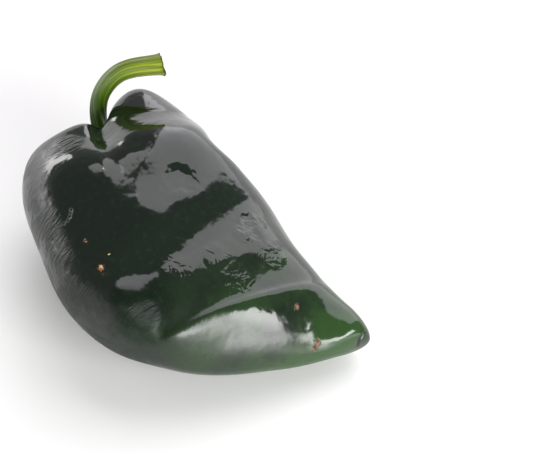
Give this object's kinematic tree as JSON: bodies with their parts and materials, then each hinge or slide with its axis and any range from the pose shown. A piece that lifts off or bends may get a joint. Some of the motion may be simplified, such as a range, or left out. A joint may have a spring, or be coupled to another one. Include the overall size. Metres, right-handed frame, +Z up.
{
  "type": "poblano pepper",
  "caption": "Whole poblano pepper as picked, lying down: a bent, flattened, lobed pod with creases, a hollow and a blunt tip, and a curled, ribbed, cut stem standing in its basin.",
  "frame": {"origin": "middle of the bottom of the whole pepper's bounding box, on the surface that it lies on", "axes": "+Z up, +X along the pod from the stem end to the tip, +Y across it towards the side that the stem curls to"},
  "size_m": [0.1218, 0.083, 0.0509],
  "materials": {
    "skin": "dark green waxy skin, glossy, with fine wrinkles and a few corky spots",
    "stem": "yellow-green fibrous stem, satin, with a dry brown cut"
  },
  "bodies": {
    "root": {"pod": "skin", "stem": "stem"}
  },
  "joints": []
}
